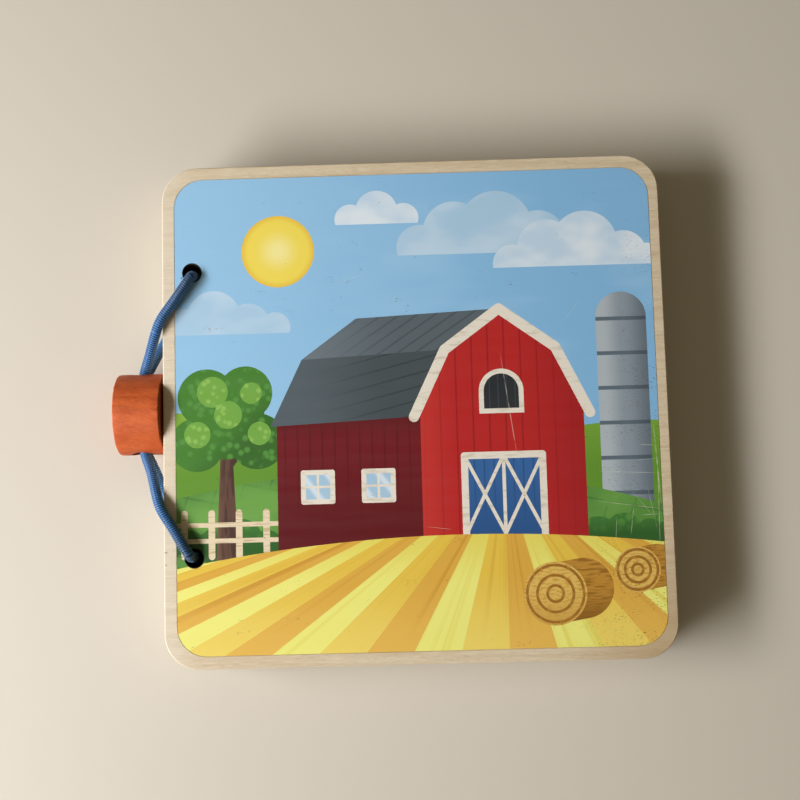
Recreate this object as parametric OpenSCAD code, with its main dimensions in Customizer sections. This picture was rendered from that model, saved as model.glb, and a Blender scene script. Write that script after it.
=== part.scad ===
// Wooden picture book for a small child: three plywood boards with eased edges, bound along the spine
// by one closed loop of elastic cord that carries a stained wooden bead. The front board has a printed
// picture let in flush with its face.
// Frame: the closed book lies on the XY plane, +X towards the fore edge, +Y towards the head, +Z up.
// The origin is under the middle of the boards. All lengths are in millimetres.

/* [Boards] */
// Width of each board, from the spine edge to the fore edge
board_w = 130; // [120:1:150]
// Height of each board, from foot to head
board_h = 130; // [110:1:150]
// Thickness of each board
board_t = 5; // [4:0.5:7]
// Radius of the boards' corners
corner_r = 9; // [6:0.5:14]
// Rounding along every edge of a board
edge_ease = 0.3; // [0.2:0.1:1.2]

/* [Binding] */
// Diameter of the elastic cord
cord_d = 2.8; // [2:0.1:2.8]
// Diameter of the two holes through the boards
hole_d = 4.8; // [4.8:0.1:6]
// Distance of the holes from the spine edge
hole_inset = 7.8; // [7:0.1:9]
// Distance between the two holes
hole_pitch = 74; // [70:1:78]
// Width of the small bevel round each hole's mouth
hole_bevel = 0.1; // [0.1:0.1:0.6]
// Room between the back board and the ground for the cord that runs under it
cord_room = 3; // [3:0.1:4]

/* [Bead] */
// Diameter of the bead, a slice of dowel
bead_d = 21.4; // [20:0.2:26]
// Length of the bead along the dowel
bead_l = 12; // [10:0.5:16]
// Diameter of the hole across the bead
bead_bore_d = 6.2; // [6.2:0.1:8]
// Rounding of the bead's two rims
bead_ease = 1; // [0.4:0.1:2]
// Play between the bead's end and the boards' spine edges
bead_gap = 0.6; // [0.3:0.1:1]
// How far the bead has drifted along the cord, towards the head
bead_drift = 0.9; // [-3:0.1:3]

/* [Print] */
// Thickness of the printed layer
print_t = 0.2; // [0.1:0.05:0.4]
// Bare wood left round the picture at the spine, head and foot
print_border = 3.3; // [2:0.1:8]
// Bare wood left at the fore edge
print_border_fore = 2.7; // [2:0.1:8]
// Radius of the picture's corners
print_r = 7.5; // [4:0.5:12]
// Bare ring left round the bevel of each cord hole
print_hole_ring = 0.1; // [0.1:0.1:1]
// Width of the fine groove between the picture and the bare wood
print_groove = 0.15; // [0.1:0.05:0.3]

/* [Picture] */
// Side of one square of the grid that the small motifs are sketched on
grid_w = 1; // [0.9:0.05:1.1]
// Height of the field's crest above the picture's foot
field_crest = 29; // [22:1:34]
// Width of a furrow where it leaves the picture's foot
furrow_w = 12; // [8:1:16]
// Height of the hills behind the field, above the picture's foot
hill_crest = 46; // [38:1:52]
// Distance of the barn's gable from the middle of the picture to its near corner
barn_x = 1; // [-4:1:4]
// Width of the barn's gable wall
barn_w = 42; // [36:1:44]
// Height of the barn's eaves above the picture's foot
barn_eaves = 61; // [52:1:66]
// Height of the barn's gable above the eaves
barn_gable = 26; // [20:1:30]
// Length of the barn's side as it is drawn
barn_side_w = 37; // [28:1:40]
// Width of the barn's double door
door_w = 20; // [14:1:24]
// Height of the door's head above the picture's foot
door_head = 49; // [44:1:52]
// Width of the silo
silo_w = 13; // [9:1:15]
// Height of the silo's wall above the picture's foot
silo_top = 84; // [70:1:90]
// Diameter of the sun
sun_d = 19; // [12:1:24]
// Width of the painted trim on the barn
trim_w = 1.8; // [1.2:0.1:2.4]
// Radius of the nearer round hay bale
bale_r = 8; // [6:0.5:9]

/* [Hidden] */
$fn = 64;

back_z = cord_room;
page_z = back_z + board_t;
cover_z = page_z + board_t;
cover_top = cover_z + board_t;
hole_x = -board_w / 2 + hole_inset;
bead_x = -board_w / 2 - bead_gap - bead_l / 2;
bead_z = bead_d / 2;
through = 1;

// The picture's panel. The picture is drawn on a sheet of its own size, with zero in the middle, and is
// then enlarged or reduced to fit inside the panel, foot on foot.
panel_w = board_w - print_border - print_border_fore;
panel_h = board_h - 2 * print_border;
panel_x = (print_border - print_border_fore) / 2;
sheet_w = 124;
sheet_h = 123.4;
sheet_scale = min(panel_w / sheet_w, panel_h / sheet_h);
foot = -sheet_h / 2;
reach = 2 * (panel_w + panel_h);

// Shapes that repeat

module round_rect(w, h, r) {
    square([w - 2 * r, h], center = true);
    square([w, h - 2 * r], center = true);
    for (x = [-1, 1], y = [-1, 1])
        translate([x * (w / 2 - r), y * (h / 2 - r)]) circle(r);
}

// A bar of width w with round ends from point a to point b
module bar(a, b, w) {
    d = b - a;
    translate(a) rotate(atan2(d.y, d.x)) {
        translate([0, -w / 2]) square([norm(d), w]);
        for (x = [0, norm(d)]) translate([x, 0]) circle(w / 2);
    }
}

// Bars from each point of a list to the next
module bars(points, w) {
    for (i = [0 : len(points) - 2]) bar(points[i], points[i + 1], w);
}

// Round puffs on the sketch grid, each [x, y, radius]
module puffs(list) {
    for (p = list) translate(grid_w * [p.x, p.y]) circle(grid_w * p.z);
}

// Puffs cut flat along a base line
module cloud(list, base) {
    intersection() {
        puffs(list);
        translate([-reach, grid_w * base]) square([2 * reach, reach]);
    }
}

// Boards

module edge_profile(w) {
    translate([0, board_t / 2]) round_rect(w, board_t, edge_ease);
}

module corner_post() {
    rotate_extrude() intersection() {
        edge_profile(2 * corner_r);
        square([corner_r, board_t]);
    }
}

module board_blank() {
    rotate([90, 0, 0]) linear_extrude(board_h - 2 * corner_r, center = true) edge_profile(board_w);
    rotate([90, 0, 90]) linear_extrude(board_w - 2 * corner_r, center = true) edge_profile(board_h);
    for (x = [-1, 1], y = [-1, 1])
        translate([x * (board_w / 2 - corner_r), y * (board_h / 2 - corner_r), 0]) corner_post();
}

module cord_hole() {
    r = hole_d / 2;
    translate([0, 0, -through]) cylinder(r = r, h = board_t + 2 * through);
    translate([0, 0, board_t - hole_bevel]) cylinder(r1 = r, r2 = r + hole_bevel, h = hole_bevel);
    cylinder(r1 = r + hole_bevel, r2 = r, h = hole_bevel);
}

module board(z) {
    translate([0, 0, z]) difference() {
        board_blank();
        for (y = [-1, 1]) translate([hole_x, y * hole_pitch / 2, 0]) cord_hole();
    }
}

module back_cover() color("burlywood") board(back_z);

module inner_page() color("burlywood") board(page_z);

module front_cover() {
    color("burlywood") difference() {
        board(cover_z);
        translate([0, 0, cover_top - print_t]) linear_extrude(print_t + through) print_panel(print_groove);
    }
}

// Bead: a slice of dowel with rounded rims, its axis along X, drilled across for the cord

module bead() {
    color("chocolate") translate([bead_x, bead_drift, bead_z]) difference() {
        rotate([0, 90, 0]) rotate_extrude() intersection() {
            round_rect(bead_d, bead_l, bead_ease);
            translate([0, -bead_l / 2]) square([bead_d / 2, bead_l]);
        }
        rotate([90, 0, 0]) cylinder(d = bead_bore_d, h = bead_d + 2 * through, center = true);
    }
}

// Elastic cord: one closed loop. Each strand leaves a hole, passes round the spine edges and runs
// through the bead, one strand above the other. The points are those of the half towards the head,
// for a bead in the middle, with X measured from the boards' spine edge.

over_boards = [[-6.4, 0, 12.25], [-6.4, 6, 12.25], [-6.15, 10.2, 12.2], [-5.2, 12.6, 13.4], [-4, 15, 15.2],
    [-2.4, 19.6, 17.6], [-0.6, 24.2, 19.3], [2.4, 28.6, 19.6], [6.4, 34.8, 19.6], [7.15, 35.95, 19.15],
    [7.4, 36.3, 18], [7.4, 36.3, 14.2]];
under_boards = [[7.4, 36.3, 10.5], [7.4, 36.3, 6.8], [7.4, 36.3, 3], [7.15, 35.95, 1.9], [6.4, 34.8, 1.45],
    [2.5, 28.7, 1.45], [-0.6, 24.4, 1.6], [-2.3, 20.6, 3.9], [-4, 16, 6.4], [-5.2, 12.8, 8.1],
    [-6.15, 10.2, 9.2], [-6.4, 6, 9.15], [-6.4, 0, 9.15]];
cord_sides = 8;

head_half = concat(over_boards, under_boards);
foot_half = [for (i = [len(head_half) - 2 : -1 : 1])
    [head_half[i].x, -head_half[i].y, head_half[i].z]];

// The cord follows the bead's drift, which fades to nothing at the holes
function drift(y) = bead_drift * max(0, 1 - abs(y) / (hole_pitch / 2));

// The cord is not quite the same in both halves: it leans to one side of each hole. Each pair is a
// distance from the middle and how far the cord leans there.
head_lean_x = [[16, 0], [34, 0.6]];
head_lean_y = [[16, 0], [34, -0.2]];
foot_lean_x = [[6, 0], [13, 0.4], [18, 0.3], [24, 0], [34, -0.4]];
foot_lean_y = [[16, 0], [34, -0.3]];
function lean(y) = y > 0
    ? [lookup(y, head_lean_x), lookup(y, head_lean_y), 0]
    : [lookup(-y, foot_lean_x), lookup(-y, foot_lean_y), 0];
cord_path = [for (p = concat(head_half, foot_half))
    p + [-board_w / 2, drift(p.y), 0] + lean(p.y)];

function unit(v) = v / norm(v);
// Points of one ring: a regular polygon square to the path
function ring(p, t) =
    let (a = unit([1, 0, 0] - t.x * t), b = cross(t, a))
    [for (k = [0 : cord_sides - 1])
        let (q = 360 * k / cord_sides) p + cord_d / 2 * (cos(q) * a + sin(q) * b)];

module closed_tube(path) {
    n = len(path);
    s = cord_sides;
    points = [for (i = [0 : n - 1])
        each ring(path[i], unit(path[(i + 1) % n] - path[(i + n - 1) % n]))];
    faces = [for (i = [0 : n - 1], k = [0 : s - 1])
        let (j = (i + 1) % n, m = (k + 1) % s)
        each [[i * s + k, j * s + k, j * s + m], [i * s + k, j * s + m, i * s + m]]];
    polyhedron(points, faces);
}

module elastic_cord() color("steelblue") closed_tube(cord_path);

// Picture: a farm. Each motif is a flat shape, and paint_order runs from the back to the front.

module print_panel(grow = 0) {
    difference() {
        translate([panel_x, 0]) round_rect(panel_w + 2 * grow, panel_h + 2 * grow, print_r + grow);
        for (y = [-1, 1])
            translate([hole_x, y * hole_pitch / 2]) circle(hole_d / 2 + hole_bevel + print_hole_ring);
    }
}

sun_at = grid_w * [-35, 42];
module sun() translate(sun_at) circle(d = sun_d);

module far_clouds() {
    cloud([[2, 42, 6], [11, 46, 8], [22, 47, 9.5], [33, 44, 7], [40, 42, 5]], 40);
    cloud([[-60, 22, 5.5], [-52, 25, 7], [-43, 23, 5.5], [-36, 22, 4]], 20.5);
}

module near_clouds() {
    cloud([[26, 37, 5], [35, 41, 7.5], [45, 42, 8.5], [55, 39, 6], [61, 37.5, 4]], 36);
    cloud([[-16, 50, 4], [-9, 52, 5.5], [-2, 50, 4]], 48.6);
}

far_hill_r = 130;
module far_hills() {
    for (top = grid_w * [[-66, 16], [58, 11]])
        translate([top.x, foot + hill_crest + top.y - far_hill_r]) circle(far_hill_r, $fn = 128);
}

near_hill_r = 240;
near_hill_x = -8;
module near_hill() {
    translate([near_hill_x, foot + hill_crest - near_hill_r]) circle(near_hill_r, $fn = 256);
}

silo_x = 53.5;
band_pitch = 9;
band_w = 1;
module silo() {
    translate([silo_x - silo_w / 2, foot]) square([silo_w, silo_top]);
    translate([silo_x, foot + silo_top]) circle(silo_w / 2);
}

module silo_bands() {
    for (y = [silo_top : -band_pitch : field_crest])
        translate([silo_x - silo_w / 2, foot + y - band_w]) square([silo_w, band_w]);
}

// Bushes in a row along the crest, each a little higher or lower and wider or narrower than the last
bush_pitch = 6.5;
bush_r = 4.6;
bush_vary = 0.9;
module hedge() {
    for (i = [-10 : 10])
        translate([i * bush_pitch, foot + field_crest + bush_vary * (sin(i * 140) - 1)])
            circle(bush_r + bush_vary * cos(i * 100));
}

tree_x = -49;
tree_y = -6;
trunk_w = 4;
module tree_trunk() {
    translate([tree_x, 0]) polygon([[-trunk_w, foot], [trunk_w, foot],
        [trunk_w / 3, tree_y], [-trunk_w / 3, tree_y]]);
    translate([tree_x, tree_y]) bar(grid_w * [0, -9], grid_w * [5.5, -2], trunk_w / 3);
}

module tree_crown() {
    translate([tree_x, tree_y]) puffs([[0, 4, 10], [-7.5, -2, 7], [8, -1.5, 7.2], [-5, 10, 7.5], [5, 11, 7]]);
}

module tree_leaves() {
    translate([tree_x, tree_y])
        puffs([[-3.5, 11.5, 4], [-7.5, 0.5, 3.4], [0.5, 5.5, 3.6], [6.5, 11, 2.8], [8.5, 0.5, 3]]);
}

fence_pitch = 7;
fence_start = -60;
fence_posts = 5;
fence_h = 11;
fence_foot = foot + field_crest - 4 * grid_w;
post_w = 1.7;
rail_w = 1.2;
module fence() {
    for (i = [0 : fence_posts - 1])
        translate([fence_start + i * fence_pitch, fence_foot]) bar([0, 0], [0, fence_h], post_w);
    for (share = [0.36, 0.73]) translate([fence_start, fence_foot + share * fence_h])
        bar([-2 * fence_pitch, 0], [fence_posts * fence_pitch - 0.8 * fence_pitch, 0], rail_w);
}

// The barn's roof line, from the near eaves over the knee to the ridge, and its far end
eaves_over = 1.6;
side_drop = 1.6;
knee_in = barn_w * 0.16;
knee_up = barn_gable * 0.6;
eaves_y = foot + barn_eaves;
near_eaves = [barn_x - eaves_over, eaves_y - eaves_over];
near_knee = [barn_x + knee_in, eaves_y + knee_up];
ridge = [barn_x + barn_w / 2, eaves_y + barn_gable];
fore_knee = [barn_x + barn_w - knee_in, eaves_y + knee_up];
fore_eaves = [barn_x + barn_w + eaves_over, eaves_y - eaves_over];
far_end = [-barn_side_w, -side_drop];

module barn_side() {
    polygon([[barn_x, foot], [barn_x, eaves_y], [barn_x - barn_side_w, eaves_y - side_drop],
        [barn_x - barn_side_w, foot]]);
}

module lower_roof() polygon([near_eaves, near_knee, near_knee + far_end, near_eaves + far_end]);

module upper_roof() polygon([near_knee, ridge, ridge + far_end, near_knee + far_end]);

module barn_front() {
    polygon([[barn_x, foot], [barn_x, eaves_y], near_knee, ridge, fore_knee,
        [barn_x + barn_w, eaves_y], [barn_x + barn_w, foot]]);
}

door_mid = barn_x + barn_w / 2;
door_y = foot + door_head;
module barn_doors() translate([door_mid - door_w / 2, foot]) square([door_w, door_head]);

loft_w = 9;
loft_y = eaves_y + loft_w / 2;
module arch(w, y, grow) {
    r = w / 2 + grow;
    translate([-r, y - w / 2 - grow]) square([2 * r, r]);
    translate([0, y]) circle(r);
}

module barn_loft() translate([door_mid, 0]) arch(loft_w, loft_y, 0);

window_s = 7.5;
window_drop = 19;
window_y = eaves_y - window_drop;
window_at = [for (k = [0.3, 0.72]) barn_x - k * barn_side_w];
module window_panes() for (x = window_at) translate([x, window_y]) square(window_s, center = true);

module barn_trim() {
    bars([near_eaves, near_knee, ridge, fore_knee, fore_eaves], trim_w * 1.5);
    w = door_w / 2;
    translate([door_mid, 0]) {
        bars([[-w, foot], [-w, door_y], [w, door_y], [w, foot]], trim_w);
        bar([0, foot], [0, door_y], trim_w / 2);
        for (s = [-1, 1]) {
            bar([s * w, door_y], [0, foot + field_crest], trim_w / 2);
            bar([0, door_y], [s * w, foot + field_crest], trim_w / 2);
        }
        difference() {
            arch(loft_w, loft_y, trim_w * 0.7);
            arch(loft_w, loft_y, 0);
        }
    }
    s = window_s / 2;
    for (x = window_at) translate([x, window_y]) {
        bars([[-s, -s], [s, -s], [s, s], [-s, s], [-s, -s]], trim_w * 0.7);
        bar([-s, 0], [s, 0], trim_w / 3);
        bar([0, -s], [0, s], trim_w / 3);
    }
}

field_r = 400;
field_x = 12;
module field() {
    translate([field_x, foot + field_crest - field_r]) circle(field_r, $fn = 360);
}

// Furrows fan out from a point above the crest, one in three of each kind
fan_tip = [field_x, foot + field_crest] + grid_w * [10, 16];
fan_reach = 2;
module furrows(kind) {
    w = fan_reach * furrow_w;
    y = fan_tip.y - fan_reach * (fan_tip.y - foot);
    intersection() {
        field();
        for (i = [kind : 3 : 36])
            polygon([fan_tip, [fan_tip.x + (i - 18) * w, y], [fan_tip.x + (i - 17) * w, y]]);
    }
}

module ochre_furrows() furrows(0);
module pale_furrows() furrows(1);
module plain_furrows() furrows(2);

// Round hay bales, each [x, y, radius], drawn from their flat ends
bales = [[34 * grid_w, foot + 13.5 * grid_w, bale_r], [55 * grid_w, foot + 19 * grid_w, 0.72 * bale_r]];
bale_ring = 0.7;
bale_side_share = 0.95;
module bale_sides() {
    for (b = bales) bar([b.x, b.y], [b.x + b.z * 0.9, b.y + b.z * 0.15], 2 * b.z * bale_side_share);
}

module bale_ends() for (b = bales) translate([b.x, b.y]) circle(b.z);

module bale_rings() {
    for (b = bales, k = [0.3, 0.62, 0.94]) translate([b.x, b.y]) difference() {
        circle(b.z * k);
        circle(b.z * k - bale_ring);
    }
}

paint_order = ["sky", "sun", "far_clouds", "near_clouds", "far_hills", "silo", "silo_bands", "near_hill",
    "hedge", "tree_trunk", "tree_crown", "tree_leaves", "fence", "barn_side", "lower_roof", "upper_roof",
    "barn_front", "barn_doors", "barn_loft", "window_panes", "barn_trim", "field", "plain_furrows",
    "ochre_furrows", "pale_furrows", "bale_sides", "bale_ends", "bale_rings"];

module motif(name) {
    translate([panel_x, -panel_h / 2]) scale(sheet_scale) translate([0, -foot]) {
        if (name == "sky") square(reach, center = true);
        if (name == "sun") sun();
        if (name == "far_clouds") far_clouds();
        if (name == "near_clouds") near_clouds();
        if (name == "far_hills") far_hills();
        if (name == "silo") silo();
        if (name == "silo_bands") silo_bands();
        if (name == "near_hill") near_hill();
        if (name == "hedge") hedge();
        if (name == "tree_trunk") tree_trunk();
        if (name == "tree_crown") tree_crown();
        if (name == "tree_leaves") tree_leaves();
        if (name == "fence") fence();
        if (name == "barn_side") barn_side();
        if (name == "lower_roof") lower_roof();
        if (name == "upper_roof") upper_roof();
        if (name == "barn_front") barn_front();
        if (name == "barn_doors") barn_doors();
        if (name == "barn_loft") barn_loft();
        if (name == "window_panes") window_panes();
        if (name == "barn_trim") barn_trim();
        if (name == "field") field();
        if (name == "plain_furrows") plain_furrows();
        if (name == "ochre_furrows") ochre_furrows();
        if (name == "pale_furrows") pale_furrows();
        if (name == "bale_sides") bale_sides();
        if (name == "bale_ends") bale_ends();
        if (name == "bale_rings") bale_rings();
    }
}

// One colour of the print: its motif inside the panel, less every motif painted over it
module inlay(name) {
    i = search([name], paint_order)[0];
    translate([0, 0, cover_top - print_t]) linear_extrude(print_t) difference() {
        intersection() {
            print_panel();
            motif(name);
        }
        for (k = [i + 1 : 1 : len(paint_order) - 1]) motif(paint_order[k]);
    }
}

module print_sky() color("#9dc8e6") inlay("sky");
module print_sun() color("#f6e36a") inlay("sun");
module print_far_clouds() color("#b5d3ea") inlay("far_clouds");
module print_near_clouds() color("#cfe1f1") inlay("near_clouds");
module print_far_hills() color("#7aa83c") inlay("far_hills");
module print_silo() color("#8796a1") inlay("silo");
module print_silo_bands() color("#5f6f7b") inlay("silo_bands");
module print_near_hill() color("#5a9140") inlay("near_hill");
module print_hedge() color("#3f7a33") inlay("hedge");
module print_tree_trunk() color("#5d4033") inlay("tree_trunk");
module print_tree_crown() color("#47822f") inlay("tree_crown");
module print_tree_leaves() color("#6fa544") inlay("tree_leaves");
module print_fence() color("#ead9b8") inlay("fence");
module print_barn_side() color("#6e151e") inlay("barn_side");
module print_lower_roof() color("#434c50") inlay("lower_roof");
module print_upper_roof() color("#56626a") inlay("upper_roof");
module print_barn_front() color("#b02022") inlay("barn_front");
module print_barn_doors() color("#2f62a0") inlay("barn_doors");
module print_barn_loft() color("#2a2f33") inlay("barn_loft");
module print_window_panes() color("#a9cbe2") inlay("window_panes");
module print_barn_trim() color("#ece5d6") inlay("barn_trim");
module print_plain_furrows() color("#eacb4e") inlay("plain_furrows");
module print_ochre_furrows() color("#dfae45") inlay("ochre_furrows");
module print_pale_furrows() color("#f3f283") inlay("pale_furrows");
module print_bale_sides() color("#b9842f") inlay("bale_sides");
module print_bale_ends() color("#e3bd62") inlay("bale_ends");
module print_bale_rings() color("#a06c24") inlay("bale_rings");

back_cover();
inner_page();
front_cover();
bead();
elastic_cord();
print_sky();
print_sun();
print_far_clouds();
print_near_clouds();
print_far_hills();
print_silo();
print_silo_bands();
print_near_hill();
print_hedge();
print_tree_trunk();
print_tree_crown();
print_tree_leaves();
print_fence();
print_barn_side();
print_lower_roof();
print_upper_roof();
print_barn_front();
print_barn_doors();
print_barn_loft();
print_window_panes();
print_barn_trim();
print_plain_furrows();
print_ochre_furrows();
print_pale_furrows();
print_bale_sides();
print_bale_ends();
print_bale_rings();
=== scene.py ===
# %% [markdown]
# # A small child's wooden book
# Three plywood boards are bound by one loop of elastic cord, and a stained wooden bead rides on the cord.
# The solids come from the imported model, which is loaded as a fixed frame. This script gives them their
# finishes, replaces the plain cord by a ribbed one, and sets up the camera, the floor and the light.

# %% The frame
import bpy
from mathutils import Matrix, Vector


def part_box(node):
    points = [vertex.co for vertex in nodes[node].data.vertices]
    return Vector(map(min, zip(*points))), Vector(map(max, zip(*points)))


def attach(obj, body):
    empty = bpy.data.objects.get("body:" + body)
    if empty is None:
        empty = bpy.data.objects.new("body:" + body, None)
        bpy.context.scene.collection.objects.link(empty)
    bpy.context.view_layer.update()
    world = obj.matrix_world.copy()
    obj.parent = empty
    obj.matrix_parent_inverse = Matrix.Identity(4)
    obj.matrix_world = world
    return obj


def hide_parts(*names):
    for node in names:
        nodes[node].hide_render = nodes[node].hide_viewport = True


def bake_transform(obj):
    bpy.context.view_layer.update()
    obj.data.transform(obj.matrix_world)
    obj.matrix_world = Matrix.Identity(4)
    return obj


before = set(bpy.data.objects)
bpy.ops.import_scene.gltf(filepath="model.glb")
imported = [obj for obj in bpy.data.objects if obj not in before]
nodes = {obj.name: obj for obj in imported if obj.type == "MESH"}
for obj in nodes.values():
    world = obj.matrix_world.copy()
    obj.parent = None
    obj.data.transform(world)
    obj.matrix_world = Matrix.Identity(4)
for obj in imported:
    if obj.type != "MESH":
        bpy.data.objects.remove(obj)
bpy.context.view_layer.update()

from math import pi, radians

import bpy
import numpy as np
from mathutils import Vector

MM = 0.001

# %% [markdown]
# ## Camera
# The photograph looks almost straight down on the closed book from about 35 cm. The camera's place and
# turn were found from the four corners of the cover and the two holes, so the frame matches to a pixel.

# %% Camera
IMAGE_PX = 800
FOCAL_PX = 1300
SENSOR_MM = 36
CAMERA_AT_MM = (0.8, -34.1, 350.8)
CAMERA_TURN = (6.19, 0.953, -1.51)
camera_data = bpy.data.cameras.new("photo_camera")
camera_data.sensor_width = SENSOR_MM
camera_data.lens = FOCAL_PX / IMAGE_PX * SENSOR_MM
camera = bpy.data.objects.new("photo_camera", camera_data)
camera.location = [at * MM for at in CAMERA_AT_MM]
camera.rotation_euler = [radians(turn) for turn in CAMERA_TURN]
bpy.context.collection.objects.link(camera)
bpy.context.scene.camera = camera
print("camera with a lens of", camera_data.lens, "mm")

# %% [markdown]
# ## Helpers for finishes
# Colours are written as they look on screen, and one function turns them into the linear values that
# Blender mixes. One more function adds a node, sets it and feeds its inputs, so that a finish reads as a
# short list of steps.

# %% Helpers for finishes
def linear(code):
    """sRGB hex to linear: c / 12.92 for the darkest values, else ((c + 0.055) / 1.055) to the power 2.4."""
    c = np.array([int(code[i:i + 2], 16) for i in (1, 3, 5)]) / 255
    return (*np.where(c <= 0.04045, c / 12.92, ((c + 0.055) / 1.055) ** 2.4).tolist(), 1.0)


def add(tree, kind, feeds=(), out=0, **settings):
    """Adds one node, with its settings and with values or sockets on its inputs. Returns one output."""
    node = tree.nodes.new("ShaderNode" + kind)
    for name, value in settings.items():
        setattr(node, name, value)
    for key, value in feeds.items() if isinstance(feeds, dict) else enumerate(feeds):
        if isinstance(value, bpy.types.NodeSocket):
            tree.links.new(value, node.inputs[key])
        else:
            node.inputs[key].default_value = value
    return node.outputs[out]


def finish(name, **sockets):
    """A new material with an empty tree but for its shader. Uniform values go on the shader's sockets."""
    material = bpy.data.materials.new(name)
    material.use_nodes = True
    shader = material.node_tree.nodes["Principled BSDF"]
    for key, value in sockets.items():
        shader.inputs[key.replace("_", " ")].default_value = value
    return material, material.node_tree, shader


def blended(tree, below, above, share, most=1.0):
    """Lays one colour over another by a share from 0 to 1, times the most that may cover."""
    if most < 1:
        share = add(tree, "Math", [share, most], operation="MULTIPLY")
    return add(tree, "Mix", {0: share, 6: below, 7: above}, out=2, data_type="RGBA")


def streaks(tree, place, size, low, high, seed=0.0):
    """Noise stretched to a real size in mm along X, Y and Z, then spread from 0 at low to 1 at high."""
    stretched = add(tree, "Mapping", {0: place, 1: (seed, seed, seed), 3: [1 / (s * MM) for s in size]})
    noise = add(tree, "TexNoise", {"Vector": stretched, "Scale": 1.0, "Detail": 2.0})
    return add(tree, "MapRange", {0: noise, 1: low, 2: high}, interpolation_type="SMOOTHSTEP")


def fade(tree, place, toward, start, end):
    """A soft step from 0 to 1 along a direction, between two distances in mm."""
    way = Vector(toward).normalized()
    reached = add(tree, "VectorMath", [place, tuple(way)], out="Value", operation="DOT_PRODUCT")
    return add(tree, "MapRange", {0: reached, 1: start * MM, 2: end * MM}, interpolation_type="SMOOTHSTEP")


def rings(tree, place, middle, start, end):
    """A soft step from 0 to 1 with the distance from a point of the boards' face, in mm."""
    flat = add(tree, "VectorMath", [place, (1.0, 1.0, 0.0)], operation="MULTIPLY")
    centre = (middle[0] * MM, middle[1] * MM, 0.0)
    away = add(tree, "VectorMath", [flat, centre], "Value", operation="DISTANCE")
    return add(tree, "MapRange", {0: away, 1: start * MM, 2: end * MM}, interpolation_type="SMOOTHSTEP")


print("helpers for finishes ready")

# %% [markdown]
# ## Marks of handling
# Use has left thin pale scratches in the varnish, and a few short dark nicks by the holes, where the cord
# pulls. Each kind is one node group, since the wood and the inks share it.

# %% Marks of handling
SCRATCHES_MM = [
    (22.3, 14.0, 26.1, -15.0, 0.14), (46.0, -17.6, 62.0, -18.4, 0.11), (45.0, -25.0, 62.2, -27.6, 0.12),
    (55.2, -25.0, 53.9, -34.5, 0.11), (50.6, -29.0, 50.0, -36.0, 0.08), (57.0, -11.0, 61.8, -11.3, 0.10),
    (60.9, -5.0, 62.0, -27.0, 0.20), (61.6, -14.0, 61.2, -38.0, 0.14), (56.0, -15.0, 62.0, -14.6, 0.10),
    (56.5, -29.0, 62.0, -28.8, 0.14), (58.5, -21.0, 61.0, -34.0, 0.07), (54.0, -22.0, 60.0, -29.5, 0.06),
    (2.0, -30.5, 9.0, -31.4, 0.07), (-20.0, 33.0, -12.0, 35.5, 0.06), (38.0, 20.0, 43.5, 27.0, 0.07),
]
NICKS_MM = [
    (-61.9, -36.5, -60.0, -36.6, 0.30), (-60.6, -37.3, -59.5, -37.4, 0.22), (-60.2, 35.4, -59.6, 36.1, 0.34),
    (-65.0, -35.3, -64.0, -35.4, 0.34), (-65.0, -38.5, -64.1, -38.6, 0.26), (-62.7, 34.1, -62.3, 34.0, 0.24),
]


def line_marks(name, marks):
    """A group that gives 1 on each mark: near its line, and between its two ends, else 0."""
    group = bpy.data.node_groups.new(name, "ShaderNodeTree")
    group.interface.new_socket("Place", in_out="INPUT", socket_type="NodeSocketVector")
    group.interface.new_socket("Marked", in_out="OUTPUT", socket_type="NodeSocketFloat")
    place = group.nodes.new("NodeGroupInput").outputs[0]
    total = 0.0
    for x0, y0, x1, y1, width in marks:
        start, way = Vector((x0, y0, 0)) * MM, Vector((x1 - x0, y1 - y0, 0)) * MM
        side = Vector((-way.y, way.x, 0)).normalized()
        local = add(group, "VectorMath", [place, tuple(start)], operation="SUBTRACT")
        per_length = tuple(way / way.length_squared)
        along = add(group, "VectorMath", [local, per_length], "Value", operation="DOT_PRODUCT")
        across = add(group, "VectorMath", [local, tuple(side)], "Value", operation="DOT_PRODUCT")
        past_middle = add(group, "Math", [along, 0.5], operation="SUBTRACT")
        off_middle = add(group, "Math", [past_middle], operation="ABSOLUTE")
        within = add(group, "MapRange", [off_middle, 0.5, 0.25, 0.0, 1.0])
        away = add(group, "Math", [across], operation="ABSOLUTE")
        near = add(group, "MapRange", [away, width * MM, 0.0, 0.0, 1.0])
        total = add(group, "Math", [within, near, total], operation="MULTIPLY_ADD")
    group.links.new(total, group.nodes.new("NodeGroupOutput").inputs[0])
    return group


scratches = line_marks("handling_scratches", SCRATCHES_MM)
nicks = line_marks("handling_nicks", NICKS_MM)
print(len(SCRATCHES_MM), "scratches and", len(NICKS_MM), "nicks")

# %% [markdown]
# ## Birch plywood
# The boards are five-ply birch, sanded and left bare on the border, the edges and the inside. A solid
# pattern in Object coordinates does it all at once: the grain of each ply runs along X or Y by turns, so
# the faces show long grain and the edges show the stack of plies, with no breaks at the rounded edges. The
# corner at the fore edge and the foot is darker, partly from handling and partly as painted shade. The
# spine is painted paler as painted light, and painted shade sits in the seams between the boards and in the
# holes.

# %% Birch plywood
BOARD_T = 5.0
FIRST_BOARD_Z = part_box("back_cover")[0].z / MM
TOP_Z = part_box("front_cover")[1].z / MM
CORE_HALF, CROSS_END, SEAM_SHADE_START = 0.13, 0.37, 0.45
LEVEL, LEANING = 0.97, 0.8
TOP_EDGE_MM = (1.0, 0.4)
PORE_MM = (1.6, 0.16, 0.16)
PRINT_PORE_MM = (0.9, 0.2, 0.2)
HOLE_X, HOLE_Y = -57.2, 37.0
HOLE_SHADE_MM = (2.58, 2.66)


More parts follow.
